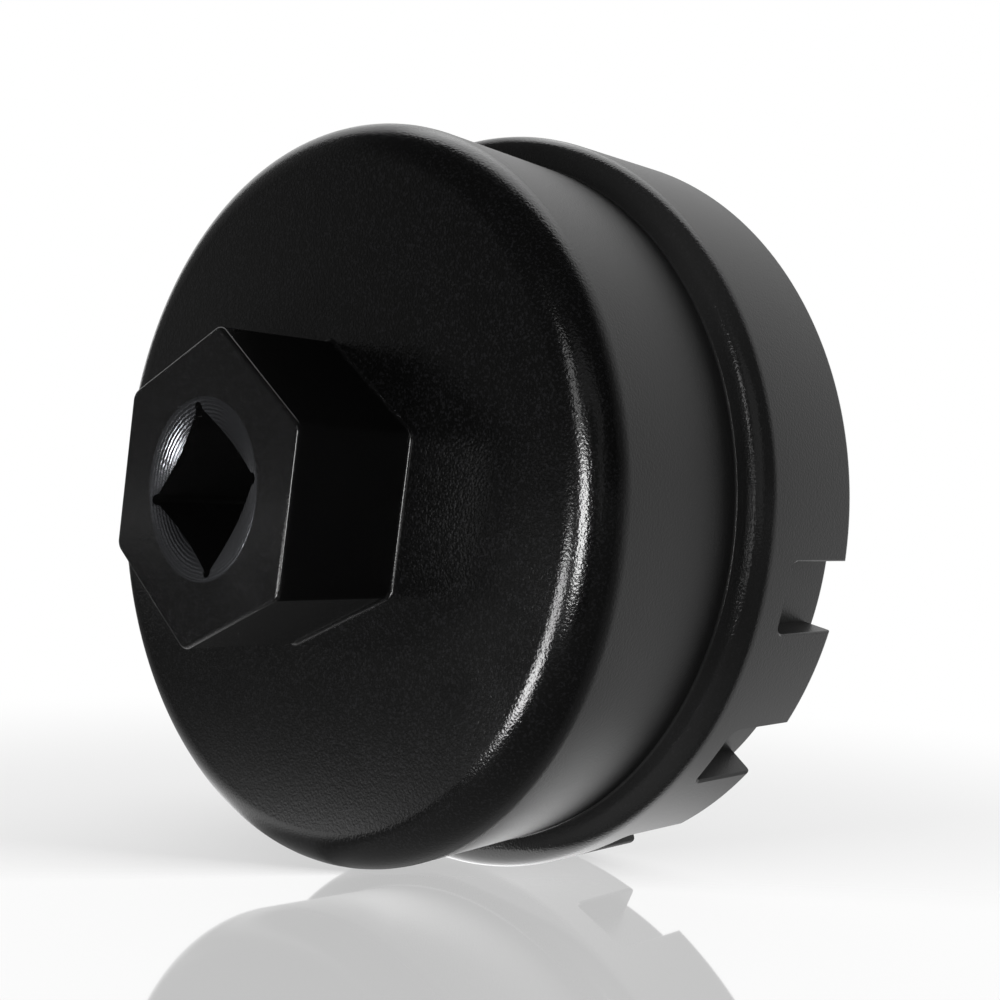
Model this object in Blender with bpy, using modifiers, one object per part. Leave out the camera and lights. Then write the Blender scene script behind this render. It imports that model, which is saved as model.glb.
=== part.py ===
"""Cap-type oil filter wrench: a fluted cup, the notched collar round its open end and the hex boss with its drive square.

The tool lies on its collar with its axis along Y, the hex towards -Y and the open end towards +Y.
Each piece is modelled on the tool's own axis: local Z starts at the cup's outer face and runs to the open end.
"""

import math

import bmesh
import bpy
from mathutils import Matrix, Vector

# The fluted cup
FLUTES = 14
SOCKET_AF = 0.0740  # across two opposite flats of the socket
SOCKET_DEPTH = 0.0341
SOCKET_LEAD = 0.0006  # chamfer at the socket's mouth, beyond its flute valleys
CUP_WALL = 0.0043  # behind a flat, under the collar
END_WALL = 0.0080
FRONT_SWELL = 0.0007  # the wall in front of the collar grows by this much in radius
SHOULDER_R = 0.0046  # round between the face and the wall
LIP = 0.0020  # how far the cup stands out of the collar
LIP_R = 0.0006

# The notched collar
COLLAR_WALL = 0.0033
COLLAR_LENGTH = 0.0174
COLLAR_FRONT_R = 0.0024
COLLAR_RIM_R = 0.0008
NOTCH_WIDTH = 0.0080
NOTCH_LENGTH = 0.0111
NOTCH_CORNER_R = 0.0012
NOTCH_RUNS = 2  # runs of notches, evenly round the collar
NOTCHES_IN_RUN = 3  # neighbouring flutes with a notch

# The hex boss
HEX_AF = 0.0300
HEX_HEIGHT = 0.0148  # from the cup's face
HEX_CORNER_R = 0.0014
HEX_EDGE_R = 0.0004
HEX_FOOT = 0.0004  # width and height of the flare at the hex's root
HEX_CORNER_AT = math.radians(38.3)
DRIVE_AF = 0.0128  # half-inch square
DRIVE_CORNER_AT = math.radians(-7.6)
LEAD_IN_RIM = 0.0007  # how far the lead-in's circle lies outside the square's corners
LEAD_IN_DEPTH = 0.0008
SHANK_WALL = 0.0034  # outside the square's corners
STAKE_OVERHANG = 0.0020
STAKE_HEIGHT = 0.0018

# Fits and facets
FIT_GAP = 0.0003  # between touching pieces
CUT_OVER = 0.0020  # how far a cutter runs past what it cuts
FACETS_PER_FLUTE = 5
ARC_STEPS = 4

# What follows from them
PITCH = 2 * math.pi / FLUTES
FACETS = FACETS_PER_FLUTE * FLUTES
SOCKET_R = SOCKET_AF / 2 / math.cos(PITCH / 2)
REAR_R = SOCKET_AF / 2 + CUP_WALL
FRONT_R = REAR_R + FRONT_SWELL
CUP_DEPTH = END_WALL + SOCKET_DEPTH
RIM = CUP_DEPTH - LIP
COLLAR_START = RIM - COLLAR_LENGTH
COLLAR_BORE = REAR_R + FIT_GAP
COLLAR_R = COLLAR_BORE + COLLAR_WALL
DRIVE_CORNER = DRIVE_AF / math.sqrt(2)
LEAD_IN_R = DRIVE_CORNER + LEAD_IN_RIM
SHANK_R = DRIVE_CORNER + SHANK_WALL
STAKE_R = SHANK_R + STAKE_OVERHANG
SHANK_END = END_WALL + FIT_GAP + STAKE_HEIGHT

# The axis lies at the height of the flat facet that the collar rests on, halfway along the tool in Y
AXIS_HEIGHT = COLLAR_R * math.cos(math.pi / FACETS)
FACE_Y = (HEX_HEIGHT - CUP_DEPTH) / 2

COATING = (0.016, 0.016, 0.017, 1.0)


def clear_scene():
    """Removes every object that the file starts with."""
    for obj in list(bpy.data.objects):
        bpy.data.objects.remove(obj, do_unlink=True)


def new_collection(name):
    """A collection of this name under the scene."""
    collection = bpy.data.collections.new(name)
    bpy.context.scene.collection.children.link(collection)
    return collection


def coated_metal(name, roughness):
    """Black powder coat on cast light alloy."""
    material = bpy.data.materials.new(name)
    material.use_nodes = True
    shader = material.node_tree.nodes["Principled BSDF"]
    shader.inputs["Base Color"].default_value = COATING
    shader.inputs["Roughness"].default_value = roughness
    shader.inputs["Metallic"].default_value = 0.0
    material.diffuse_color = COATING
    return material


def arc(centre_r, centre_z, radius, start, end):
    """Points of a profile's arc, with angles in degrees from +R towards +Z."""
    angles = [math.radians(start + (end - start) * i / ARC_STEPS) for i in range(ARC_STEPS + 1)]
    return [(centre_r + radius * math.cos(a), centre_z + radius * math.sin(a)) for a in angles]


def place(obj, collection, axis):
    """Puts an object in its collection, on the tool's axis."""
    collection.objects.link(obj)
    obj.parent = axis
    return obj


def turned(name, profile):
    """A ring turned from a closed profile of (radius, z), which runs down its outer side first."""
    mesh = bpy.data.meshes.new(name)
    outline = bmesh.new()
    points = [outline.verts.new((r, 0.0, z)) for r, z in profile]
    for start, end in zip(points, points[1:] + points[:1]):
        outline.edges.new((start, end))
    outline.to_mesh(mesh)
    outline.free()
    obj = bpy.data.objects.new(name, mesh)
    screw = obj.modifiers.new("turn", "SCREW")
    screw.axis = "Z"
    screw.angle = 2 * math.pi
    screw.steps = FACETS
    screw.render_steps = FACETS
    screw.use_merge_vertices = True
    screw.merge_threshold = 0.00001
    screw.use_smooth_shade = True
    return obj


def prism(name, sides, low, high, low_r, high_r, corner_at):
    """A prism or cone frustum between two heights, with one of its corners at an angle from +X."""
    solid = bmesh.new()
    bmesh.ops.create_cone(
        solid,
        cap_ends=True,
        segments=sides,
        radius1=low_r,
        radius2=high_r,
        depth=high - low,
    )
    corner = next(iter(solid.verts)).co
    turn = corner_at - math.atan2(corner.y, corner.x)
    bmesh.ops.transform(
        solid,
        matrix=Matrix.Translation((0.0, 0.0, (low + high) / 2)) @ Matrix.Rotation(turn, 4, "Z"),
        verts=solid.verts,
    )
    return mesh_object(name, solid)


def mesh_object(name, solid):
    """An object that takes over a finished bmesh."""
    mesh = bpy.data.meshes.new(name)
    solid.to_mesh(mesh)
    solid.free()
    return bpy.data.objects.new(name, mesh)


def rounded(obj, radius, segments, along_axis, below):
    """Rounds the edges that run along the axis, or those across it, whose middle lies under a height."""
    solid = bmesh.new()
    solid.from_mesh(obj.data)
    edges = []
    for edge in solid.edges:
        run = (edge.verts[1].co - edge.verts[0].co).normalized()
        middle = (edge.verts[0].co + edge.verts[1].co) / 2
        is_axial = abs(run.z) > 0.5
        if is_axial == along_axis and middle.z < below:
            edges.append(edge)
    bmesh.ops.bevel(
        solid,
        geom=edges,
        offset=radius,
        offset_type="OFFSET",
        segments=segments,
        profile=0.5,
        affect="EDGES",
        clamp_overlap=True,
    )
    solid.to_mesh(obj.data)
    solid.free()


def combine(obj, other, operation):
    """A Boolean modifier that cuts or joins another object."""
    modifier = obj.modifiers.new(other.name, "BOOLEAN")
    modifier.operation = operation
    modifier.solver = "EXACT"
    modifier.object = other


def smooth(obj, angle):
    """Shades the round faces smooth and keeps the edges over an angle sharp."""
    if obj.data.polygons:
        obj.data.shade_smooth()
        obj.data.set_sharp_from_angle(angle=math.radians(angle))


def helper(obj, collection, axis):
    """A cutter or a joined form, which isn't a piece by itself."""
    place(obj, collection, axis)
    obj.hide_render = True
    obj.display_type = "WIRE"
    return obj


def fluted_cup(parts, cutters, axis):
    """The cup: face, shoulder, wall and lip, with the fluted socket and the hole for the shank."""
    hole_r = SHANK_R + FIT_GAP
    profile = arc(REAR_R - LIP_R, CUP_DEPTH - LIP_R, LIP_R, 90, 0)
    profile.append((REAR_R, COLLAR_START - FIT_GAP))
    profile += arc(FRONT_R - SHOULDER_R, SHOULDER_R, SHOULDER_R, 0, -90)
    profile += [(hole_r, 0.0), (hole_r, CUP_DEPTH)]
    cup = place(turned("fluted_cup", profile), parts, axis)

    over = CUP_DEPTH + CUT_OVER
    socket = prism("socket_cutter", FLUTES, END_WALL, over, SOCKET_R, SOCKET_R, 0.0)
    combine(cup, helper(socket, cutters, axis), "DIFFERENCE")
    # The mouth's cone leaves the valleys at 45 degrees, so it widens as fast as it rises
    mouth = prism(
        "socket_mouth_cutter",
        FACETS,
        CUP_DEPTH - SOCKET_LEAD - CUT_OVER,
        over,
        SOCKET_R - CUT_OVER,
        SOCKET_R + SOCKET_LEAD + CUT_OVER,
        0.0,
    )
    combine(cup, helper(mouth, cutters, axis), "DIFFERENCE")
    return cup


def notch_cutter(name, angle):
    """A block with two round corners at its inner end, which opens a notch through the collar at an angle."""
    low = RIM - NOTCH_LENGTH
    high = RIM + CUT_OVER
    inner = REAR_R - CUT_OVER
    outer = COLLAR_R + CUT_OVER
    block = bmesh.new()
    bmesh.ops.create_cube(block, size=1.0)
    size = Vector((outer - inner, NOTCH_WIDTH, high - low))
    bmesh.ops.scale(block, vec=size, verts=block.verts)
    bmesh.ops.translate(block, vec=((inner + outer) / 2, 0.0, (low + high) / 2), verts=block.verts)
    inner_end = [
        edge
        for edge in block.edges
        if all(vert.co.z < (low + high) / 2 for vert in edge.verts)
        and abs(edge.verts[0].co.y - edge.verts[1].co.y) < NOTCH_WIDTH / 2
    ]
    bmesh.ops.bevel(
        block,
        geom=inner_end,
        offset=NOTCH_CORNER_R,
        segments=3,
        profile=0.5,
        affect="EDGES",
    )
    bmesh.ops.rotate(block, cent=(0, 0, 0), matrix=Matrix.Rotation(angle, 3, "Z"), verts=block.verts)
    return mesh_object(name, block)


def notched_collar(parts, cutters, axis):
    """The ring round the open end, with runs of notches that open at its rim."""
    profile = arc(COLLAR_R - COLLAR_RIM_R, RIM - COLLAR_RIM_R, COLLAR_RIM_R, 90, 0)
    profile += arc(COLLAR_R - COLLAR_FRONT_R, COLLAR_START + COLLAR_FRONT_R, COLLAR_FRONT_R, 0, -90)
    profile += [(COLLAR_BORE, COLLAR_START), (COLLAR_BORE, RIM)]
    collar = place(turned("notched_collar", profile), parts, axis)
    for run in range(NOTCH_RUNS):
        for count in range(NOTCHES_IN_RUN):
            # A notch is centred on a flat of the socket
            angle = 2 * math.pi * run / NOTCH_RUNS + (count + 0.5) * PITCH
            cutter = notch_cutter(f"notch_cutter_{run}_{count}", angle)
            combine(collar, helper(cutter, cutters, axis), "DIFFERENCE")
    return collar


def drive_hex(parts, cutters, axis):
    """The hex boss on its shank, staked behind the end wall, with the drive square through it."""
    hex_corner = 1 / math.cos(math.pi / 6)
    front = -HEX_HEIGHT
    hex_r = HEX_AF / 2 * hex_corner
    foot_r = (HEX_AF / 2 + HEX_FOOT) * hex_corner
    boss = prism("drive_hex", 6, front, -FIT_GAP, hex_r, hex_r, HEX_CORNER_AT)
    rounded(boss, HEX_CORNER_R, 3, along_axis=True, below=0.0)
    rounded(boss, HEX_EDGE_R, 2, along_axis=False, below=front / 2)
    place(boss, parts, axis)

    foot = prism("hex_foot", 6, -FIT_GAP - HEX_FOOT, -FIT_GAP, hex_r, foot_r, HEX_CORNER_AT)
    rounded(foot, HEX_CORNER_R, 3, along_axis=True, below=0.0)
    combine(boss, helper(foot, cutters, axis), "UNION")
    shank = prism("hex_shank", FACETS, -HEX_HEIGHT / 2, SHANK_END, SHANK_R, SHANK_R, 0.0)
    combine(boss, helper(shank, cutters, axis), "UNION")
    stake = prism("hex_stake", FACETS, END_WALL + FIT_GAP, SHANK_END, STAKE_R, SHANK_R, 0.0)
    combine(boss, helper(stake, cutters, axis), "UNION")

    square = prism(
        "drive_square_cutter",
        4,
        front - CUT_OVER,
        SHANK_END + CUT_OVER,
        DRIVE_CORNER,
        DRIVE_CORNER,
        DRIVE_CORNER_AT,
    )
    combine(boss, helper(square, cutters, axis), "DIFFERENCE")
    # The lead-in falls from its circle to the middle of the square's sides
    slope = (LEAD_IN_R - DRIVE_AF / 2) / LEAD_IN_DEPTH
    lead_in = prism(
        "lead_in_cutter",
        FACETS,
        front - LEAD_IN_DEPTH,
        front + LEAD_IN_DEPTH,
        LEAD_IN_R + slope * LEAD_IN_DEPTH,
        DRIVE_AF / 2,
        0.0,
    )
    combine(boss, helper(lead_in, cutters, axis), "DIFFERENCE")
    return boss


def main():
    clear_scene()
    parts = new_collection("oil_filter_wrench")
    cutters = new_collection("cutters")
    axis = bpy.data.objects.new("tool_axis", None)
    axis.location = (0.0, FACE_Y, AXIS_HEIGHT)
    axis.rotation_euler = (-math.pi / 2, 0.0, 0.0)
    parts.objects.link(axis)

    pieces = {
        fluted_cup(parts, cutters, axis): coated_metal("cup_black_coat", 0.42),
        notched_collar(parts, cutters, axis): coated_metal("collar_black_coat", 0.42),
        drive_hex(parts, cutters, axis): coated_metal("hex_black_coat", 0.45),
    }
    for piece, material in pieces.items():
        piece.data.materials.append(material)
        smooth(piece, 30)
    bpy.context.view_layer.update()


main()
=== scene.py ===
"""Black cap-type oil filter wrench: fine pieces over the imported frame, with a studio round them.

The tool lies on its collar. Its axis runs along Y, with the hex boss towards -Y and the open
socket towards +Y.
"""

import math

import bmesh
import bpy
from mathutils import Matrix, Vector


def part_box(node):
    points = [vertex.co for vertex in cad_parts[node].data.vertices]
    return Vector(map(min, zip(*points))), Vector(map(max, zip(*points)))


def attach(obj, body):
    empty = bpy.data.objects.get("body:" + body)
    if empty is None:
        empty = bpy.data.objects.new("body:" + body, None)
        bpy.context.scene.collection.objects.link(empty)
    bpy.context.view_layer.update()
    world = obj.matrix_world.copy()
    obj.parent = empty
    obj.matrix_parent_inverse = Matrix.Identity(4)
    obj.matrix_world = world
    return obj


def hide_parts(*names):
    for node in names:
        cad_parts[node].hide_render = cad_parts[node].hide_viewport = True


bl_info = {
    "name": "Oil filter wrench",
    "version": (1, 0, 0),
    "blender": (4, 5, 0),
    "location": "View3D > Sidebar > Wrench",
    "description": "Models a cap-type oil filter wrench and the studio that it is shown in",
    "category": "Object",
}

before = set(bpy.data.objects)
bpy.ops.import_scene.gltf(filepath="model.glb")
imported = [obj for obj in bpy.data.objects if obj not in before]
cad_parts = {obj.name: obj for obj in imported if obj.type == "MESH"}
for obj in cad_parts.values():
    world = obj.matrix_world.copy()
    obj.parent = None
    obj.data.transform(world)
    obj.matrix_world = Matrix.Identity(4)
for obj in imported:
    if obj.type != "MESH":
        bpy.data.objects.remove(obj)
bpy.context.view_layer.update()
CUP_LOW, CUP_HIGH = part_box("fluted_cup")
COLLAR_LOW, COLLAR_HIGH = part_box("notched_collar")
HEX_LOW, HEX_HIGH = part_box("drive_hex")

# Places along the tool's axis
AXIS_Z = (COLLAR_LOW.z + COLLAR_HIGH.z) / 2
HEX_Y = HEX_LOW.y
FACE_Y = CUP_LOW.y
COLLAR_Y = COLLAR_LOW.y
RIM_Y = COLLAR_HIGH.y
SHANK_END_Y = HEX_HIGH.y
LIP_Y = CUP_HIGH.y

MM = 0.001
FLUTE_POINTS = 20  # points of a ring on each flute
RUN_STEPS = 4  # parts that a long straight run is divided into
BURIED = 0.05 * MM  # how far a piece reaches into the one that carries it
DOUBLE = 0.001 * MM  # points closer than this are one
ALIGNED = 0.99  # cosine over which a face counts as square to an axis
SENSOR_WIDTH = 36  # of the camera, in millimetres

# Looks of the coat: roughness across the axis and along it, share of the grain's full
# height, and index of refraction
SATIN = {"face": 0.17, "sides": 0.40, "relief": 1.0, "ior": 1.37}
SMOOTH = {"face": 0.13, "sides": 0.13, "relief": 0.35, "ior": 1.28}


def linear(code):
    """A linear colour from an sRGB hex value."""
    parts = [int(code[i : i + 2], 16) / 255 for i in (0, 2, 4)]
    return tuple(p / 12.92 if p <= 0.04045 else ((p + 0.055) / 1.055) ** 2.4 for p in parts)


def length(name, default, description):
    """A property that holds a length in metres."""
    return bpy.props.FloatProperty(
        name=name,
        description=description,
        default=default,
        min=0.0,
        precision=5,
        subtype="DISTANCE",
        unit="LENGTH",
    )


def turn(name, degrees, description):
    """A property that holds an angle."""
    return bpy.props.FloatProperty(
        name=name, description=description, default=math.radians(degrees), subtype="ANGLE", unit="ROTATION"
    )


def colour(name, code, description):
    """A property that holds a colour."""
    return bpy.props.FloatVectorProperty(
        name=name, description=description, default=linear(code), size=3, min=0.0, max=1.0, subtype="COLOR"
    )


def amount(name, default, description):
    """A property that holds a plain number."""
    return bpy.props.FloatProperty(name=name, description=description, default=default, min=0.0)


class WrenchCup(bpy.types.PropertyGroup):
    """Sizes of the cup"""

    front_radius: length("Front radius", (CUP_HIGH.x - CUP_LOW.x) / 2, "Wall radius behind the shoulder")
    rear_radius: length("Rear radius", 41.3 * MM, "Wall radius under the collar")
    shoulder: length("Shoulder", 4.6 * MM, "Round between the face and the wall")
    lip_round: length("Lip round", 0.6 * MM, "Outer round of the lip")
    end_wall: length("End wall", 8.0 * MM, "Thickness of the closed end")
    shank_hole: length("Shank hole", 12.75 * MM, "Radius of the hole for the hex's shank")
    flutes: bpy.props.IntProperty(name="Flutes", description="Flats of the socket", default=14, min=6)
    socket_flats: length("Socket flats", 74.0 * MM, "Across two opposite flats of the socket")
    socket_foot: length("Socket foot", 0.9 * MM, "Round between the flats and the end wall")
    mouth_lead: length("Mouth lead", 0.6 * MM, "Chamfer of the socket's mouth beyond the flute valleys")


class WrenchCollar(bpy.types.PropertyGroup):
    """Sizes of the collar"""

    radius: length("Radius", (COLLAR_HIGH.x - COLLAR_LOW.x) / 2, "Outer radius")
    front_round: length("Front round", 2.4 * MM, "Round of the front edge")
    rim_round: length("Rim round", 0.8 * MM, "Round of the rim's outer edge")
    foot_round: length("Foot round", 0.3 * MM, "Hollow round in the crease between cup and collar")
    notch_width: length("Notch width", 8.0 * MM, "Width of a notch")
    notch_length: length("Notch length", 11.1 * MM, "Depth of a notch from the rim")
    notch_corner: length("Notch corner", 1.2 * MM, "Round of a notch's inner corners")
    notch_edge: length("Notch edge", 0.4 * MM, "Round of a notch's outer edge")
    notch_runs: bpy.props.IntProperty(
        name="Notch runs", description="Runs round the collar", default=2, min=1
    )
    notches_in_run: bpy.props.IntProperty(
        name="Notches in a run", description="On neighbouring flutes", default=3, min=1
    )


class WrenchHex(bpy.types.PropertyGroup):
    """Sizes of the hex boss"""

    flats: length("Flats", 30.0 * MM, "Across two opposite flats")
    corner_at: turn("Corner at", -38.3, "Where a corner lies, from +X towards +Z")
    corner_round: length("Corner round", 1.4 * MM, "Round of the long edges")
    edge_round: length("Edge round", 0.4 * MM, "Round of the front edge")
    root_round: length("Root round", 0.4 * MM, "Hollow round at the root")
    drive_flats: length("Drive flats", 12.8 * MM, "Across two opposite sides of the square hole")
    drive_corner_at: turn("Drive corner at", 7.6, "Where a corner of the square lies, from +X towards +Z")
    ear: length("Ear", 0.6 * MM, "Radius of the relief in the square's corners")
    lead_in: length("Lead-in", 9.75 * MM, "Radius of the turned lead-in")
    lead_in_depth: length("Lead-in depth", 0.8 * MM, "Depth of the lead-in at the square's sides")
    shank: length("Shank", 12.45 * MM, "Radius of the shank in the end wall")
    stake: length("Stake", 14.45 * MM, "Radius of the staked end inside the socket")
    stake_height: length("Stake height", 1.8 * MM, "Height of the staked end")


class WrenchFinish(bpy.types.PropertyGroup):
    """Colours and grain of the surfaces"""

    coat: colour("Coat", "040404", "Black powder coat")
    coat_speck: colour("Coat speck", "0a0a0b", "What the lighter grains add to the coat")
    # Painted light: the sides and the collar are painted lighter than the black coat, to lift the shade along
    # them and in the crease before the collar
    painted_side_lift: colour("Lifted side coat", "1c1c1c", "Lighter powder coat on the cup's sides and the collar, painted light that lifts their shade")
    bare_metal: colour("Bare metal", "505154", "Turned aluminium of the lead-in")
    grain: length("Grain", 0.26 * MM, "Width of a grain of the coat")
    grain_height: length("Grain height", 0.03 * MM, "Height of the coat's grain")
    turning_pitch: length("Turning pitch", 0.40 * MM, "Pitch of the turning rings")


class WrenchStudio(bpy.types.PropertyGroup):
    """Camera, lamps and floor"""

    eye: bpy.props.FloatVectorProperty(
        name="Eye",
        description="Place of the camera",
        default=(0.12494, -0.11360, 0.04260),
        subtype="TRANSLATION",
        unit="LENGTH",
    )
    azimuth: turn("Azimuth", 43.757, "Angle of the view from -Y towards +X")
    elevation: turn("Elevation", -0.755, "Angle of the view above the horizon")
    roll: turn("Roll", 1.489, "Turn of the camera about its line of sight")
    lens: amount("Lens", 50.87, "Focal length in millimetres")
    floor: colour("Floor", "f2f2f2", "Pale acrylic floor")
    floor_mirror: amount("Floor mirror", 0.86, "Share of the floor's mirror image")
    ambient: amount("Ambient", 0.6, "Level of the soft light from all round")
    backdrop: amount("Backdrop", 1.0, "Level of the white background, as the tool reflects it")
    strip_level: amount("Strip level", 22.0, "Radiance of the strip lamp in front of the face")
    foot_level: amount("Foot level", 30.0, "Radiance of the lamp at the strip's foot")
    low_level: amount("Low level", 45.0, "Radiance of the low lamp at the left, on the hex boss only")
    edge_level: amount("Edge level", 42.0, "Radiance of the upright lamp at the strip's right")
    high_level: amount("High level", 5.0, "Radiance of the dim lamp over the edge lamp")
    fill_level: amount("Fill level", 0.35, "Radiance of the broad dim lamp behind the camera")
    top_level: amount("Top level", 1.2, "Radiance of the soft box over the tool")
    room_left: amount("Room, left", 0.23, "Level of the dark room at the left, as the tool reflects it")
    room_right: amount("Room, right", 0.04, "Level of the dark room at the right, as the tool reflects it")


def deselect():
    """Leaves object mode with nothing selected."""
    if bpy.context.mode != "OBJECT":
        bpy.ops.object.mode_set(mode="OBJECT")
    bpy.ops.object.select_all(action="DESELECT")


def pick(piece):
    """Makes a piece the active one and the only one selected."""
    deselect()
    piece.select_set(True)
    bpy.context.view_layer.objects.active = piece


def edit(piece):
    """Makes a piece the only one selected and opens it in edit mode."""
    pick(piece)
    bpy.ops.object.mode_set(mode="EDIT")
    bpy.ops.mesh.select_mode(type="VERT")


def choose(piece, kind, test):
    """Selects the vertices, edges or faces that pass a test, and raises an error where none does."""
    bpy.ops.mesh.select_mode(type=kind)
    bpy.ops.mesh.select_all(action="DESELECT")
    mesh = bmesh.from_edit_mesh(piece.data)
    items = {"VERT": mesh.verts, "EDGE": mesh.edges, "FACE": mesh.faces}[kind]
    found = [item for item in items if test(item)]
    if not found:
        raise RuntimeError(f"nothing to select on {piece.name}")
    for item in found:
        item.select_set(True)
    mesh.select_flush_mode()
    bmesh.update_edit_mesh(piece.data)


def apply_modifier(piece, kind, **settings):
    """Adds a modifier to the active piece and applies it."""
    bpy.ops.object.mode_set(mode="OBJECT")
    bpy.ops.object.modifier_add(type=kind)
    modifier = piece.modifiers[-1]
    for name, value in settings.items():
        setattr(modifier, name, value)
    bpy.ops.object.modifier_apply(modifier=modifier.name)


def cut(piece, cutter, **settings):
    """Cuts a closed cutter out of a piece."""
    pick(piece)
    apply_modifier(piece, "BOOLEAN", operation="DIFFERENCE", solver="EXACT", object=cutter, **settings)


def discard(obj):
    """Removes a cutter that is no longer needed."""
    pick(obj)
    bpy.ops.object.delete()


def arc(centre_r, centre_y, radius, start, end, steps):
    """Stations (radius, y) of an arc, with angles in degrees from outwards towards +Y."""
    angles = [math.radians(start + (end - start) * i / steps) for i in range(steps + 1)]
    return [(centre_r + radius * math.cos(a), centre_y + radius * math.sin(a)) for a in angles]


def bake_place():
    """Puts the active object's place into its mesh."""
    bpy.ops.object.transform_apply(location=True, rotation=True, scale=True)


def turned(name, stations, points):
    """A closed ring about the tool's axis: a circle extruded from station to station and bridged shut."""
    deselect()
    radius, y = stations[0]
    bpy.ops.mesh.primitive_circle_add(
        vertices=points, radius=radius, location=(0, y, AXIS_Z), rotation=(math.pi / 2, 0, 0)
    )
    piece = bpy.context.object
    piece.name = piece.data.name = name
    bake_place()
    edit(piece)
    bpy.ops.mesh.select_all(action="SELECT")
    for next_radius, next_y in stations[1:]:
        bpy.ops.mesh.extrude_region_move(TRANSFORM_OT_translate={"value": (0, next_y - y, 0)})
        grow = next_radius / radius
        bpy.ops.transform.resize(value=(grow, 1, grow), center_override=(0, next_y, AXIS_Z))
        radius, y = next_radius, next_y
    choose(piece, "EDGE", lambda edge: edge.is_boundary)
    bpy.ops.mesh.bridge_edge_loops()
    outwards()
    return piece


def outwards():
    """Merges doubles and turns every face of the edited mesh outwards."""
    bpy.ops.mesh.select_all(action="SELECT")
    bpy.ops.mesh.remove_doubles(threshold=DOUBLE)
    bpy.ops.mesh.normals_make_consistent(inside=False)


def from_axis(point):
    """Radius and angle (from +X towards +Z) of a point about the tool's axis."""
    return math.hypot(point.x, point.z - AXIS_Z), math.atan2(point.z - AXIS_Z, point.x)


def finish_piece(piece, node, material, smooth_under):
    """Shades a piece, gives it its finish and sets it in the place of its CAD node."""
    edit(piece)
    outwards()
    pick(piece)
    bpy.ops.object.shade_smooth_by_angle(angle=math.radians(smooth_under))
    apply_modifier(piece, "WEIGHTED_NORMAL", keep_sharp=True, weight=80)
    if not piece.data.materials:
        piece.data.materials.append(material)
    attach(piece, "root")
    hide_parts(node)


def add_node(tree, kind, values=None, links=None, **settings):
    """Adds a node with its options, its socket values and its links."""
    node = tree.nodes.new(kind)
    for name, value in settings.items():
        setattr(node, name, value)
    for socket, value in (values or {}).items():
        node.inputs[socket].default_value = value
    for socket, source in (links or {}).items():
        tree.links.new(source, node.inputs[socket])
    return node


def blank_material(name):
    """A new material with an empty node tree, and that tree."""
    material = bpy.data.materials.new(name)
    material.use_nodes = True
    material.node_tree.nodes.clear()
    return material, material.node_tree


def powder_coat(finish, name, skin, side_lift, face, sides, relief, ior):
    """Black powder coat, sprayed on cast aluminium and baked.

    The powder melts into a skin of low, soft grains. A broad light shows as an even satin sheen, and a
    narrow one breaks up into sparkling grains along its edges.

    Skin is its colour across the axis and side_lift its lighter colour along it, painted light that lifts the
    sides' shade; face and sides are its roughness there.
    Relief is the share of the grain's full height, and ior is the index of refraction.
    """
    material, tree = blank_material(name)
    surface = add_node(tree, "ShaderNodeTexCoord")
    place = surface.outputs["Object"]
    grain = add_node(
        tree,
        "ShaderNodeTexNoise",
        {"Scale": 1 / finish.grain, "Detail": 1.0, "Roughness": 0.5},
        {"Vector": place},
    )
    bumps = add_node(
        tree,
        "ShaderNodeBump",
        {"Strength": relief, "Distance": finish.grain_height},
        {"Height": grain.outputs["Fac"]},
    )
    speck = add_node(
        tree, "ShaderNodeMapRange", {"From Min": 0.52, "From Max": 0.72}, {"Value": grain.outputs["Fac"]}
    )
    # Sockets 6 and 7 of a mix are its two colours, and output 2 is the colour it gives
    speckled = Vector(skin) + Vector(finish.coat_speck)
    tint = add_node(
        tree,
        "ShaderNodeMix",
        {6: (*skin, 1), 7: (*speckled, 1)},
        {0: speck.outputs["Result"]},
        data_type="RGBA",
    )
    # The skin bakes a little glossier in some places than in others
    patch_width = 30 * finish.grain
    unevenness = 0.02
    patch = add_node(tree, "ShaderNodeTexNoise", {"Scale": 1 / patch_width, "Detail": 1.0}, {"Vector": place})
    gloss = add_node(
        tree,
        "ShaderNodeMapRange",
        {"From Min": 0.35, "From Max": 0.65, "To Min": face - unevenness, "To Max": face + unevenness},
        {"Value": patch.outputs["Fac"]},
    )
    # The sides are rougher than the faces across the axis, and painted lighter as painted light that lifts
    # their shade
    facing = add_node(tree, "ShaderNodeSeparateXYZ", links={"Vector": surface.outputs["Normal"]})
    across = add_node(tree, "ShaderNodeMath", links={0: facing.outputs["Y"]}, operation="ABSOLUTE")
    across = add_node(
        tree, "ShaderNodeMapRange", {"From Min": 0.05, "From Max": 0.4}, {"Value": across.outputs["Value"]}
    )
    rough = add_node(
        tree,
        "ShaderNodeMapRange",
        {"To Min": sides},
        {"Value": across.outputs["Result"], "To Max": gloss.outputs["Result"]},
    )
    # Painted light: the sides take the lighter side_lift colour, and the faces across the axis keep the
    # speckled skin
    tint = add_node(
        tree,
        "ShaderNodeMix",
        {6: (*side_lift, 1)},
        {0: across.outputs["Result"], 7: tint.outputs[2]},
        data_type="RGBA",
    )
    shader = add_node(
        tree,
        "ShaderNodeBsdfPrincipled",
        {"Metallic": 0.0, "IOR": ior},
        {
            "Base Color": tint.outputs[2],
            "Roughness": rough.outputs["Result"],
            "Normal": bumps.outputs["Normal"],
        },
    )
    add_node(tree, "ShaderNodeOutputMaterial", links={"Surface": shader.outputs["BSDF"]})
    return material


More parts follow.
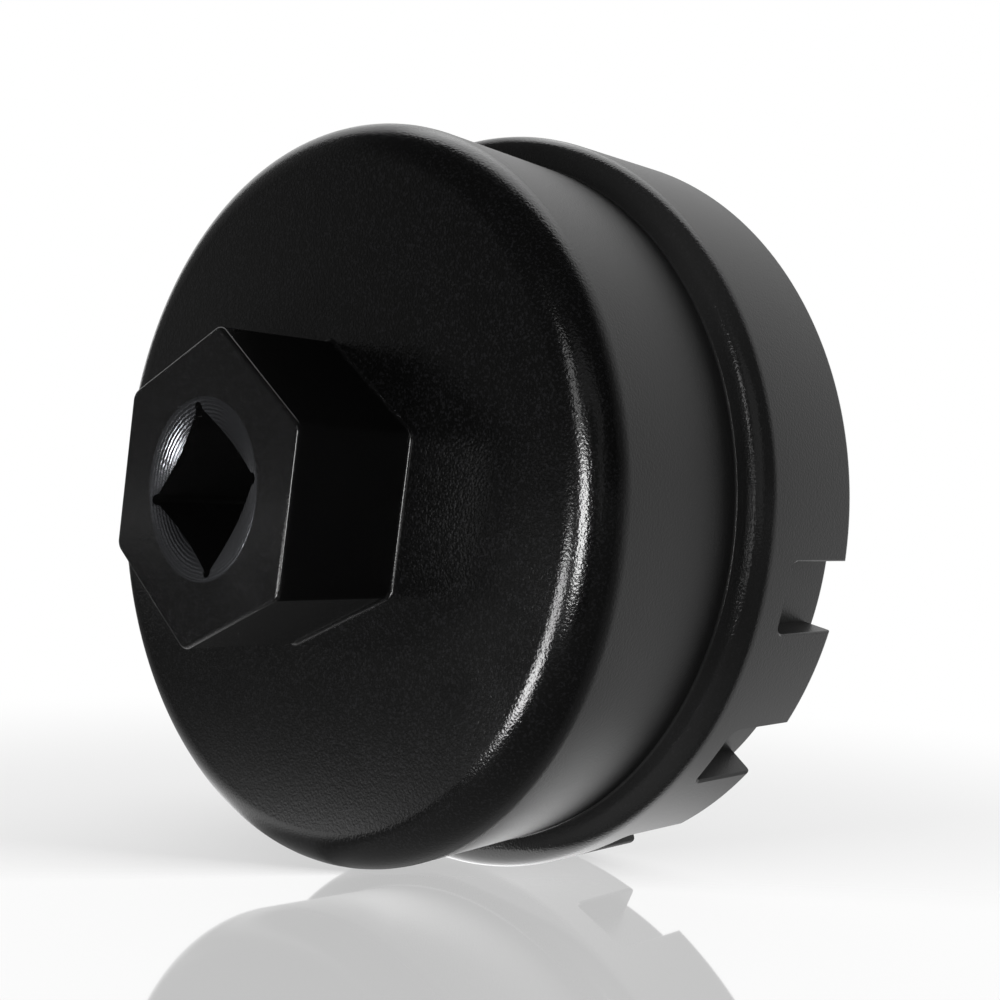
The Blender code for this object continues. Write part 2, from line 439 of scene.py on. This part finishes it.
def turned_aluminium(finish):
    """Bare aluminium, faced with a turning tool.

    The tool leaves fine rings round the hole, so the light draws out into bright arcs across them.
    The rings are drawn coarser than a real feed mark, which would be too fine to show.
    """
    material, tree = blank_material("turned_bare_aluminium")
    place = add_node(tree, "ShaderNodeTexCoord").outputs["Object"]
    centred = add_node(tree, "ShaderNodeMapping", {"Location": (0, 0, -AXIS_Z)}, {"Vector": place})
    # A wave of scale 1 has a ring every tau / 20 metres
    scale = math.tau / 20 / finish.turning_pitch
    ring_depth = 0.022 * MM
    rings = add_node(
        tree,
        "ShaderNodeTexWave",
        {"Scale": scale, "Distortion": 1.5, "Detail": 2.0, "Detail Scale": 2.0},
        {"Vector": centred.outputs["Vector"]},
        wave_type="RINGS",
        rings_direction="Y",
    )
    relief = add_node(
        tree,
        "ShaderNodeBump",
        {"Strength": 0.7, "Distance": ring_depth},
        {"Height": rings.outputs["Fac"]},
    )
    gloss = add_node(
        tree,
        "ShaderNodeMapRange",
        {"To Min": 0.11, "To Max": 0.22},
        {"Value": rings.outputs["Fac"]},
    )
    shader = add_node(
        tree,
        "ShaderNodeBsdfPrincipled",
        {"Base Color": (*finish.bare_metal, 1), "Metallic": 1.0},
        {"Roughness": gloss.outputs["Result"], "Normal": relief.outputs["Normal"]},
    )
    add_node(tree, "ShaderNodeOutputMaterial", links={"Surface": shader.outputs["BSDF"]})
    return material


class WRENCH_OT_cup(bpy.types.Operator):
    """Models the cup with its face, shoulder, lip and fluted socket"""

    bl_idname = "wrench.cup"
    bl_label = "Cup"

    def execute(self, context):
        sizes = context.scene.wrench_cup
        half = math.pi / sizes.flutes
        valley = sizes.socket_flats / 2 / math.cos(half)
        tangent = sizes.front_radius - sizes.shoulder
        floor_y = FACE_Y + sizes.end_wall
        mouth = valley + sizes.mouth_lead

        face_width = tangent - sizes.shank_hole
        stations = [(sizes.shank_hole + face_width * i / RUN_STEPS, FACE_Y) for i in range(RUN_STEPS)]
        stations += arc(tangent, FACE_Y + sizes.shoulder, sizes.shoulder, -90, 0, steps=14)
        wall = (stations[-1], (sizes.rear_radius, COLLAR_Y))
        for i in range(1, RUN_STEPS + 1):
            stations.append(tuple(a + (b - a) * i / RUN_STEPS for a, b in zip(*wall)))
        stations.append((sizes.rear_radius, (COLLAR_Y + LIP_Y) / 2))
        lip = sizes.lip_round
        stations += arc(sizes.rear_radius - lip, LIP_Y - lip, lip, 0, 90, steps=9)
        stations += [(mouth, LIP_Y), (valley, LIP_Y - sizes.mouth_lead)]
        foot_round = sizes.socket_foot
        depth = LIP_Y - sizes.mouth_lead - floor_y - foot_round
        # The first ring inside lies close to the mouth
        shares = [0.1 + 0.3 * i for i in range(RUN_STEPS)]
        stations += [(valley, LIP_Y - sizes.mouth_lead - depth * share) for share in shares]
        foot = arc(valley - foot_round, floor_y + foot_round, foot_round, 0, -90, steps=5)
        stations += foot
        stations.append((sizes.shank_hole, floor_y))
        cup = turned("cup_shell", stations, FLUTE_POINTS * sizes.flutes)

        self.press_flats(cup, valley, half, floor_y, foot[-1][0])
        finish = context.scene.wrench_finish
        # The cup's sides take the lighter coat, painted light that lifts their shade and the crease before
        # the collar
        coat = powder_coat(finish, "satin_black_powder_coat", finish.coat, finish.painted_side_lift, **SATIN)
        finish_piece(cup, "fluted_cup", coat, smooth_under=20)
        return {"FINISHED"}

    def press_flats(self, cup, valley, half, floor_y, foot_r):
        """Moves the socket's points from the valleys' circle onto its flats, place by place on the flute."""
        near = 0.01 * MM
        points = [vert.co for vert in bmesh.from_edit_mesh(cup.data).verts]
        mouth_y = max(point.y for point in points if abs(from_axis(point)[0] - valley) < near)
        step = 2 * half / FLUTE_POINTS
        for count in range(1, FLUTE_POINTS // 2 + 1):
            on_flat = math.cos(half) / math.cos(half - count * step)

            def on_place(vert, lowest=floor_y - near):
                radius, angle = from_axis(vert.co)
                off = abs((angle + half) % (2 * half) - half)
                inside = foot_r - near < radius < valley + near and lowest < vert.co.y < mouth_y + near
                return inside and abs(off - count * step) < step / 4

            choose(cup, "VERT", on_place)
            bpy.ops.transform.resize(value=(on_flat, 1, on_flat), center_override=(0, 0, AXIS_Z))
            # The mouth's chamfer meets a flat further in, so its points move along the axis too
            flat_radius = valley * on_flat

            def on_mouth(vert):
                radius, angle = from_axis(vert.co)
                off = abs((angle + half) % (2 * half) - half)
                level = abs(vert.co.y - mouth_y) < near and abs(radius - flat_radius) < 2 * near
                return level and abs(off - count * step) < step / 4

            choose(cup, "VERT", on_mouth)
            bpy.ops.transform.translate(value=(0, flat_radius - valley, 0))


class WRENCH_OT_collar(bpy.types.Operator):
    """Models the collar round the open end and cuts its notches"""

    bl_idname = "wrench.collar"
    bl_label = "Collar"

    def execute(self, context):
        sizes = context.scene.wrench_collar
        cup = context.scene.wrench_cup
        bore = cup.rear_radius - BURIED
        foot = sizes.foot_round
        front = sizes.front_round
        rim = sizes.rim_round

        stations = [(bore, RIM_Y), (bore, COLLAR_Y - foot)]
        stations += arc(cup.rear_radius + foot, COLLAR_Y - foot, foot, 180, 90, steps=6)
        stations += arc(sizes.radius - front, COLLAR_Y + front, front, -90, 0, steps=10)
        stations.append((sizes.radius, RIM_Y - sizes.notch_length - sizes.notch_edge))
        stations += arc(sizes.radius - rim, RIM_Y - rim, rim, 0, 90, steps=6)
        collar = turned("collar_ring", stations, FLUTE_POINTS * cup.flutes)

        cutter = self.notch_cutter(sizes, cup.rear_radius)
        for run in range(sizes.notch_runs):
            for count in range(sizes.notches_in_run):
                # Rotation about +Y turns +X towards -Z, the way that the notches follow each other
                at = math.tau * run / sizes.notch_runs + math.tau * (count + 0.5) / cup.flutes
                cutter.rotation_euler = (0, at, 0)
                context.view_layer.update()
                cut(collar, cutter)
        discard(cutter)
        finish = context.scene.wrench_finish
        # The collar takes the lighter coat all over, painted light that lifts its shade
        coat = powder_coat(finish, "dull_black_powder_coat_painted_lift", finish.painted_side_lift, finish.painted_side_lift, **SATIN)
        finish_piece(collar, "notched_collar", coat, smooth_under=32)
        return {"FINISHED"}

    def notch_cutter(self, sizes, rear_radius):
        """A block at +X that flares where it leaves the collar, so that the notch's outer edge is round."""
        over = 2 * MM
        inner = rear_radius - over
        edge = sizes.notch_edge
        half = sizes.notch_width / 2
        skin = math.sqrt(sizes.radius**2 - half**2)
        start = RIM_Y - sizes.notch_length
        middle = (start + RIM_Y + over) / 2
        deselect()
        bpy.ops.mesh.primitive_cube_add(size=1, location=((inner + skin - edge) / 2, middle, AXIS_Z))
        block = bpy.context.object
        block.name = "notch_cutter"
        block.scale = (skin - edge - inner, RIM_Y + over - start, sizes.notch_width)
        bake_place()
        bpy.context.scene.cursor.location = (0, 0, AXIS_Z)
        bpy.ops.object.origin_set(type="ORIGIN_CURSOR")
        edit(block)

        def at_inner_corner(side):
            first, second = (vert.co for vert in side.verts)
            return abs(first.x - second.x) > half / 2 and (first.y + second.y) / 2 < start + edge

        choose(block, "EDGE", at_inner_corner)
        bpy.ops.mesh.bevel(offset=sizes.notch_corner, segments=6)
        choose(block, "FACE", lambda f: f.normal.x > ALIGNED)
        reach = (RIM_Y + over - start) / 2
        # The flare follows the edge's round step by step, and then runs straight on out of the collar
        turns = [math.radians(degrees) for degrees in (0, 18, 36, 54)]
        flare = [(edge * math.sin(at), edge * (1 - math.cos(at))) for at in turns]
        flare.append((flare[-1][0] + 1.2 * edge, flare[-1][1] + 1.6 * edge))
        for (rise, side), (next_rise, next_side) in zip(flare, flare[1:]):
            bpy.ops.mesh.extrude_region_move(TRANSFORM_OT_translate={"value": (next_rise - rise, 0, 0)})
            bpy.ops.transform.resize(
                value=(1, (reach + next_side) / (reach + side), (half + next_side) / (half + side)),
                center_override=(0, middle, AXIS_Z),
            )
        outwards()
        return block


class WRENCH_OT_hex(bpy.types.Operator):
    """Models the hex boss with its drive square, turned lead-in and staked shank"""

    bl_idname = "wrench.hex_boss"
    bl_label = "Hex boss"

    def execute(self, context):
        sizes = context.scene.wrench_hex
        finish = context.scene.wrench_finish
        boss = self.hexagon(sizes)
        shank = self.staked_shank(sizes, context.scene.wrench_cup.end_wall)
        coat = powder_coat(finish, "smooth_black_powder_coat", finish.coat, finish.coat, **SMOOTH)
        square = self.drive_square(sizes)
        for part in (boss, shank):
            part.data.materials.append(coat)
            cut(part, square)
        discard(square)
        dish = self.lead_in(sizes, turned_aluminium(finish))
        cut(boss, dish, material_mode="TRANSFER")
        discard(dish)

        pick(boss)
        shank.select_set(True)
        bpy.ops.object.join()
        finish_piece(boss, "drive_hex", coat, smooth_under=32)
        return {"FINISHED"}

    def hexagon(self, sizes):
        """The boss: long edges, front edge and root rounded."""
        root = sizes.root_round
        back_y = FACE_Y - root
        deselect()
        bpy.ops.mesh.primitive_cylinder_add(
            vertices=6,
            radius=sizes.flats / math.sqrt(3),
            depth=back_y - HEX_Y,
            location=(0, (HEX_Y + back_y) / 2, AXIS_Z),
            rotation=(math.pi / 2, math.pi / 2 - sizes.corner_at, 0),
        )
        boss = bpy.context.object
        boss.name = boss.data.name = "hex_boss"
        bake_place()
        edit(boss)
        choose(boss, "EDGE", lambda e: abs(e.verts[0].co.y - e.verts[1].co.y) > root)
        bpy.ops.mesh.bevel(offset=sizes.corner_round * math.tan(math.pi / 6), segments=8)
        choose(boss, "EDGE", lambda e: all(v.co.y < HEX_Y + BURIED for v in e.verts))
        bpy.ops.mesh.bevel(offset=sizes.edge_round, segments=6)
        choose(boss, "FACE", lambda f: f.normal.y > ALIGNED)
        half = sizes.flats / 2
        run = arc(half + root, back_y, root, 180, 90, steps=7) + [(half + root, FACE_Y + 4 * BURIED)]
        for (radius, y), (next_radius, next_y) in zip(run, run[1:]):
            bpy.ops.mesh.extrude_region_move(TRANSFORM_OT_translate={"value": (0, next_y - y, 0)})
            grow = next_radius / radius
            bpy.ops.transform.resize(value=(grow, 1, grow), center_override=(0, next_y, AXIS_Z))
        outwards()
        return boss

    def staked_shank(self, sizes, end_wall):
        """The shank in the end wall, spread over the wall's inner side. Its ends close towards the axis."""
        wall_y = FACE_Y + end_wall
        stake_y = SHANK_END_Y - sizes.stake_height
        edge = 0.5 * MM
        core = 1 * MM
        stations = [(core, FACE_Y + 2 * BURIED), (sizes.shank, FACE_Y + 2 * BURIED), (sizes.shank, wall_y)]
        stations += [(sizes.stake - edge, wall_y), (sizes.stake, wall_y + edge)]
        stations.append((sizes.stake, stake_y + 2 * edge))
        stations += arc(sizes.stake - 2 * edge, SHANK_END_Y - 2 * edge, 2 * edge, 0, 90, steps=5)
        stations.append((core, SHANK_END_Y))
        return turned("staked_shank", stations, points=96)

    def drive_square(self, sizes):
        """The square hole's cutter, with a round relief along each of its corners."""
        over = 3 * MM
        middle = (HEX_Y + SHANK_END_Y) / 2
        deep = SHANK_END_Y - HEX_Y + 2 * over
        corner = sizes.drive_flats / math.sqrt(2)
        deselect()
        bpy.ops.mesh.primitive_cylinder_add(
            vertices=4,
            radius=corner,
            depth=deep,
            location=(0, middle, AXIS_Z),
            rotation=(math.pi / 2, math.pi / 2 - sizes.drive_corner_at, 0),
        )
        square = bpy.context.object
        square.name = "drive_square"
        bake_place()
        for count in range(4):
            at = sizes.drive_corner_at + math.pi / 2 * count
            ear_at = corner - 0.6 * sizes.ear
            deselect()
            bpy.ops.mesh.primitive_cylinder_add(
                vertices=24,
                radius=sizes.ear,
                depth=deep + MM,
                location=(ear_at * math.cos(at), middle, AXIS_Z + ear_at * math.sin(at)),
                rotation=(math.pi / 2, 0, 0),
            )
            ear = bpy.context.object
            bake_place()
            pick(square)
            apply_modifier(square, "BOOLEAN", operation="UNION", solver="EXACT", object=ear)
            discard(ear)
        return square

    def lead_in(self, sizes, material):
        """The turned dish in front of the square, which carries its bare metal onto the cut."""
        slope = sizes.lead_in_depth / (sizes.lead_in - sizes.drive_flats / 2)
        low = HEX_Y - sizes.lead_in_depth
        core = 0.5 * MM
        past_square = 0.4 * MM
        inner = sizes.drive_flats / 2 - past_square
        stations = [(core, low), (sizes.lead_in + sizes.lead_in_depth / slope, low)]
        stations += [(sizes.lead_in, HEX_Y), (inner, HEX_Y + (sizes.lead_in - inner) * slope)]
        stations.append((core, stations[-1][1]))
        dish = turned("lead_in_dish", stations, points=192)
        bpy.ops.object.mode_set(mode="OBJECT")
        dish.data.materials.append(material)
        return dish


class WRENCH_OT_stage(bpy.types.Operator):
    """Sets up the floor, the dark room, the lamps, the net, the background and the camera"""

    bl_idname = "wrench.stage"
    bl_label = "Studio"

    def execute(self, context):
        studio = context.scene.wrench_studio
        context.scene.view_settings.view_transform = "Standard"
        self.floor(studio)
        self.dark_room(studio)
        self.lamps(studio)
        self.net()
        self.background(context.scene, studio)
        self.camera(context.scene, studio)
        return {"FINISHED"}

    def floor(self, studio):
        """A pale acrylic floor that mirrors the tool faintly, keeps its shadow and fades to white far off.

        In the tool's reflections the floor glows in a painted pattern of light levels, which stands in for
        the cards round a photo table.
        """
        # Distances on the floor from under the tool's middle, in metres
        glow_start, glow_end, lift_end, fade_start, fade_end = 0.018, 0.042, 0.05, 0.07, 0.18
        white_share = 0.5  # of plain white in the floor close to the tool
        lift = 3.0  # of the pattern under the tool
        deselect()
        ground_z = AXIS_Z - bpy.context.scene.wrench_collar.radius
        bpy.ops.mesh.primitive_plane_add(size=6, location=(0, 0, ground_z))
        floor = bpy.context.object
        floor.name = "floor"
        bake_place()
        material, tree = blank_material("pale_acrylic_floor")
        ray = add_node(tree, "ShaderNodeLightPath")
        place = add_node(tree, "ShaderNodeTexCoord").outputs["Object"]
        away = add_node(tree, "ShaderNodeVectorMath", links={0: place}, operation="LENGTH")
        fade = add_node(
            tree,
            "ShaderNodeMapRange",
            {"From Min": fade_start, "From Max": fade_end, "To Min": white_share, "To Max": 1.0},
            {"Value": away.outputs["Value"]},
            interpolation_type="SMOOTHSTEP",
        )
        # Levels by share of a turn round the tool: 0 lies towards -X, 0.25 towards -Y and 0.5 towards +X
        round_tool = add_node(tree, "ShaderNodeTexGradient", links={"Vector": place}, gradient_type="RADIAL")
        # What the tool reflects is white behind it and dark in front
        white_card = studio.backdrop
        reflected_plan = (
            *((0.06, 0.06), (0.10, 0.10), (0.19, 0.10), (0.22, 0.05)),
            *((0.28, 0.12), (0.52, 0.12), (0.561, 0.05)),
            *((0.58, white_card), (0.945, white_card), (0.96, 0.06)),
        )
        # The glow close to the tool is at its front left
        glowing_plan = ((0.19, 1.0), (0.22, 0.0), (0.945, 0.0), (0.96, 1.0))
        # The floor's mirror image is clear in front and faint behind
        clear = studio.floor_mirror
        faint = 0.2 * clear
        mirrored_plan = ((0.08, faint), (0.15, clear), (0.60, clear), (0.70, faint))
        levels = []
        for plan in (reflected_plan, glowing_plan, mirrored_plan):
            level = add_node(tree, "ShaderNodeValToRGB", links={"Fac": round_tool.outputs["Fac"]})
            while len(level.color_ramp.elements) < len(plan):
                level.color_ramp.elements.new(0.5)
            for element, (at, value) in zip(level.color_ramp.elements, plan):
                element.position = at
                element.color = (value, value, value, 1)
            levels.append(level.outputs["Color"])
        reflected, glowing, mirrored = levels
        # Acrylic mirrors at a flat glance and hardly at all from above
        glance = add_node(tree, "ShaderNodeLayerWeight", {"Blend": 0.5})
        glance = add_node(
            tree,
            "ShaderNodeMapRange",
            {"From Min": 0.36, "From Max": 0.60, "To Min": 0.0, "To Max": 1.0},
            {"Value": glance.outputs["Facing"]},
            interpolation_type="SMOOTHSTEP",
        )
        share = add_node(
            tree, "ShaderNodeMath", links={0: mirrored, 1: glance.outputs["Result"]}, operation="MULTIPLY"
        )
        matt = add_node(tree, "ShaderNodeBsdfDiffuse", {"Color": (*studio.floor, 1)})
        mirror = add_node(tree, "ShaderNodeBsdfGlossy", {"Color": (1, 1, 1, 1), "Roughness": 0.04})
        plain = add_node(
            tree,
            "ShaderNodeMixShader",
            links={0: share.outputs["Value"], 1: matt.outputs["BSDF"], 2: mirror.outputs["BSDF"]},
        )
        white = add_node(tree, "ShaderNodeEmission", {"Color": (1, 1, 1, 1), "Strength": 1.0})
        lit = add_node(
            tree,
            "ShaderNodeMixShader",
            links={0: fade.outputs["Result"], 1: plain.outputs["Shader"], 2: white.outputs["Emission"]},
        )
        # The glow falls off with the square of the distance, up to a highest level
        glow_at_metre, glow_most = 0.0021, 2.5
        close = away
        for kind, value in (("POWER", -2.0), ("MULTIPLY", glow_at_metre), ("MINIMUM", glow_most)):
            close = add_node(
                tree, "ShaderNodeMath", {1: value}, {0: close.outputs["Value"]}, operation=kind
            )
        near = add_node(
            tree,
            "ShaderNodeMapRange",
            {"From Min": glow_start, "From Max": glow_end, "To Min": 0.0},
            {"Value": away.outputs["Value"], "To Max": close.outputs["Value"]},
            interpolation_type="SMOOTHSTEP",
        )
        # Under the tool the pattern is lifted, for the light that gets in between
        under = add_node(
            tree,
            "ShaderNodeMapRange",
            {"From Min": glow_start, "From Max": lift_end, "To Min": lift, "To Max": 1.0},
            {"Value": away.outputs["Value"]},
        )
        ring = add_node(
            tree, "ShaderNodeMath", links={0: under.outputs["Result"], 1: reflected}, operation="MULTIPLY"
        )
        glow = add_node(
            tree,
            "ShaderNodeMath",
            links={0: near.outputs["Result"], 1: glowing, 2: ring.outputs["Value"]},
            operation="MULTIPLY_ADD",
        )
        shown = add_node(tree, "ShaderNodeEmission", links={"Strength": glow.outputs["Value"]})
        seen = add_node(
            tree,
            "ShaderNodeMixShader",
            links={0: ray.outputs["Is Glossy Ray"], 1: plain.outputs["Shader"], 2: shown.outputs["Emission"]},
        )
        both = add_node(
            tree,
            "ShaderNodeMixShader",
            links={0: ray.outputs["Is Camera Ray"], 1: seen.outputs["Shader"], 2: lit.outputs["Shader"]},
        )
        add_node(tree, "ShaderNodeOutputMaterial", links={"Surface": both.outputs["Shader"]})
        floor.data.materials.append(material)

    def dark_room(self, studio):
        """The dark room in front of the tool, a part of a dome that shows only as a reflection in it."""
        radius = 0.8
        material, tree = blank_material("dark_room")
        place = add_node(tree, "ShaderNodeTexCoord").outputs["Object"]
        across = add_node(tree, "ShaderNodeSeparateXYZ", links={"Vector": place})
        share = add_node(
            tree,
            "ShaderNodeMapRange",
            {"From Min": -radius, "From Max": radius},
            {"Value": across.outputs["X"]},
        )
        level = add_node(tree, "ShaderNodeValToRGB", links={"Fac": share.outputs["Result"]})
        # Levels by share of the dome's width, from the left
        plan = ((0.0, 0.5 * studio.room_left), (0.06, studio.room_left), (0.21, studio.room_right))
        level.color_ramp.elements.new(0.5)
        for element, (at, value) in zip(level.color_ramp.elements, plan):
            element.position = at
            element.color = (value, value, value, 1)
        glow = add_node(tree, "ShaderNodeEmission", links={"Strength": level.outputs["Color"]})
        add_node(tree, "ShaderNodeOutputMaterial", links={"Surface": glow.outputs["Emission"]})
        deselect()
        bpy.ops.mesh.primitive_uv_sphere_add(segments=96, ring_count=48, radius=radius)
        dome = bpy.context.object
        dome.name = "dark_room"
        edit(dome)
        # The dark side lies towards the front, a little to the right and below, and reaches past the tool
        right, below = math.radians(18), math.radians(17)
        flat = math.cos(below)
        towards = Vector((math.sin(right) * flat, -math.cos(right) * flat, -math.sin(below)))
        reach = -0.42  # cosine of the angle from there to the dome's edge

        def is_open(face):
            middle = face.calc_center_median().normalized()
            return middle.z < 0 or middle.dot(towards) < reach

        choose(dome, "FACE", is_open)
        bpy.ops.mesh.delete(type="FACE")
        deselect()
        dome.data.materials.append(material)
        dome.visible_camera = False
        dome.visible_diffuse = False
        dome.visible_shadow = False

    def lamps(self, studio):
        """The lamps of the studio.

        Small lamps in front of the face draw the highlight along its shoulder: a slanting strip, one at
        its foot, an upright one at its right and a dim one over that. A low lamp at the left lights the
        lead-in, a broad dim one behind the camera lifts the sides, and a soft box hangs over the tool.
        """
        wide, tall, slant = (1, 0, 0), (0, 0, 1), (0.058, 0, 0.023)
        # name, radiance, place, what it faces, direction of its long side, length, width
        plan = (
            ("strip", studio.strip_level, (0.006, -0.103, 0.0215), (0.037, FACE_Y, 0.04), slant, 0.03, 0.02),
            ("edge", studio.edge_level, (0.066, -0.103, 0.037), (0.039, FACE_Y, 0.042), tall, 0.046, 0.02),
            ("high", studio.high_level, (0.052, -0.103, 0.083), (0.041, FACE_Y, 0.055), tall, 0.034, 0.016),
            ("foot", studio.foot_level, (0.011, -0.066, 0.0095), (0.033, FACE_Y, 0.029), wide, 0.018, 0.013),
            ("low_lamp", studio.low_level, (-0.145, -0.225, 0.01), (-0.005, HEX_Y, 0.049), tall, 0.025, 0.04),
            ("fill", studio.fill_level, (0.33, -0.31, 0.16), (0, 0, 0.045), wide, 0.3, 0.3),
            ("top_box", studio.top_level, (-0.1, 0.35, 0.9), (0, 0, 0), wide, 0.9, 0.7),
        )
        tool = bpy.data.collections.new("lit_tool")
        boss = bpy.data.collections.new("lit_boss")
        for piece in ("cup_shell", "collar_ring", "hex_boss"):
            tool.objects.link(bpy.data.objects[piece])
        boss.objects.link(bpy.data.objects["hex_boss"])
        for name, radiance, place, target, run, long_side, width in plan:
            lamp = bpy.data.lights.new(name, "AREA")
            lamp.shape = "RECTANGLE"
            lamp.size = long_side
            lamp.size_y = width
            lamp.energy = radiance * math.pi * long_side * width
            holder = bpy.data.objects.new(name, lamp)
            away = (Vector(place) - Vector(target)).normalized()
            along = Vector(run)
            along = (along - along.dot(away) * away).normalized()
            turned_to = Matrix((along, away.cross(along), away)).transposed().to_4x4()
            holder.matrix_world = Matrix.Translation(place) @ turned_to
            holder.visible_camera = False
            # Snoots keep all the lamps but the soft box off the floor, and the low one on the boss
            if name != "top_box":
                holder.light_linking.receiver_collection = boss if name == "low_lamp" else tool
            bpy.context.scene.collection.objects.link(holder)

    def net(self):
        """A grey net that holds back most of the edge lamp from the collar."""
        let_through = 0.06
        place = (0.0508, -0.025, 0.042)
        width, height = 8.5 * MM, 36 * MM
        material, tree = blank_material("grey_net")
        grey = (let_through, let_through, let_through, 1)
        thin = add_node(tree, "ShaderNodeBsdfTransparent", {"Color": grey})
        add_node(tree, "ShaderNodeOutputMaterial", links={"Surface": thin.outputs["BSDF"]})
        deselect()
        bpy.ops.mesh.primitive_plane_add(size=1, location=place, rotation=(math.pi / 2, 0, 0))
        net = bpy.context.object
        net.name = "net"
        net.scale = (width, height, 1)
        bake_place()
        net.data.materials.append(material)
        net.visible_camera = False

    def background(self, scene, studio):
        """White where the camera, metal or glass looks at it, and a soft light from all round."""
        world = bpy.data.worlds.new("studio")
        scene.world = world
        world.use_nodes = True
        tree = world.node_tree
        tree.nodes.clear()
        ray = add_node(tree, "ShaderNodeLightPath")
        seen = add_node(
            tree,
            "ShaderNodeMath",
            links={0: ray.outputs["Is Camera Ray"], 1: ray.outputs["Is Glossy Ray"]},
            operation="MAXIMUM",
        )
        seen = add_node(
            tree,
            "ShaderNodeMath",
            links={0: seen.outputs["Value"], 1: ray.outputs["Is Transmission Ray"]},
            operation="MAXIMUM",
        )
        level = add_node(
            tree,
            "ShaderNodeMapRange",
            {"To Min": studio.ambient, "To Max": studio.backdrop},
            {"Value": seen.outputs["Value"]},
        )
        level = add_node(
            tree,
            "ShaderNodeMath",
            links={0: level.outputs["Result"], 1: ray.outputs["Is Camera Ray"]},
            operation="MAXIMUM",
        )
        light = add_node(
            tree, "ShaderNodeBackground", {"Color": (1, 1, 1, 1)}, {"Strength": level.outputs["Value"]}
        )
        add_node(tree, "ShaderNodeOutputWorld", links={"Surface": light.outputs["Background"]})

    def camera(self, scene, studio):
        """The camera at the photograph's place and angle."""
        sine, cosine = math.sin(studio.azimuth), math.cos(studio.azimuth)
        flat = math.cos(studio.elevation)
        right = Vector((cosine, sine, 0))
        back = Vector((sine * flat, -cosine * flat, math.sin(studio.elevation)))
        level = Matrix((right, back.cross(right), back)).transposed()
        rolled = level @ Matrix.Rotation(studio.roll, 3, "Z")
        camera = bpy.data.cameras.new("camera")
        camera.lens = studio.lens
        camera.sensor_width = SENSOR_WIDTH
        camera.clip_start = 5 * MM
        holder = bpy.data.objects.new("camera", camera)
        holder.matrix_world = Matrix.Translation(studio.eye) @ rolled.to_4x4()
        scene.collection.objects.link(holder)
        scene.camera = holder


class WRENCH_PT_tools(bpy.types.Panel):
    """Lists the pieces and the sizes that shape them"""

    bl_idname = "WRENCH_PT_tools"
    bl_label = "Oil filter wrench"
    bl_space_type = "VIEW_3D"
    bl_region_type = "UI"
    bl_category = "Wrench"

    def draw(self, context):
        for group, operator in STEPS:
            box = self.layout.box()
            settings = getattr(context.scene, group)
            for name in settings.__annotations__:
                box.prop(settings, name)
            if operator:
                box.operator(operator.bl_idname)


GROUPS = {
    "wrench_cup": WrenchCup,
    "wrench_collar": WrenchCollar,
    "wrench_hex": WrenchHex,
    "wrench_finish": WrenchFinish,
    "wrench_studio": WrenchStudio,
}
STEPS = (
    ("wrench_finish", None),
    ("wrench_cup", WRENCH_OT_cup),
    ("wrench_collar", WRENCH_OT_collar),
    ("wrench_hex", WRENCH_OT_hex),
    ("wrench_studio", WRENCH_OT_stage),
)
CLASSES = (*GROUPS.values(), *(operator for _, operator in STEPS if operator), WRENCH_PT_tools)


def register():
    for item in CLASSES:
        bpy.utils.register_class(item)
    for name, group in GROUPS.items():
        setattr(bpy.types.Scene, name, bpy.props.PointerProperty(type=group))


def unregister():
    for name in GROUPS:
        delattr(bpy.types.Scene, name)
    for item in reversed(CLASSES):
        bpy.utils.unregister_class(item)


def main():
    register()
    bpy.ops.wrench.cup()
    bpy.ops.wrench.collar()
    bpy.ops.wrench.hex_boss()
    bpy.ops.wrench.stage()


if __name__ == "__main__":
    main()
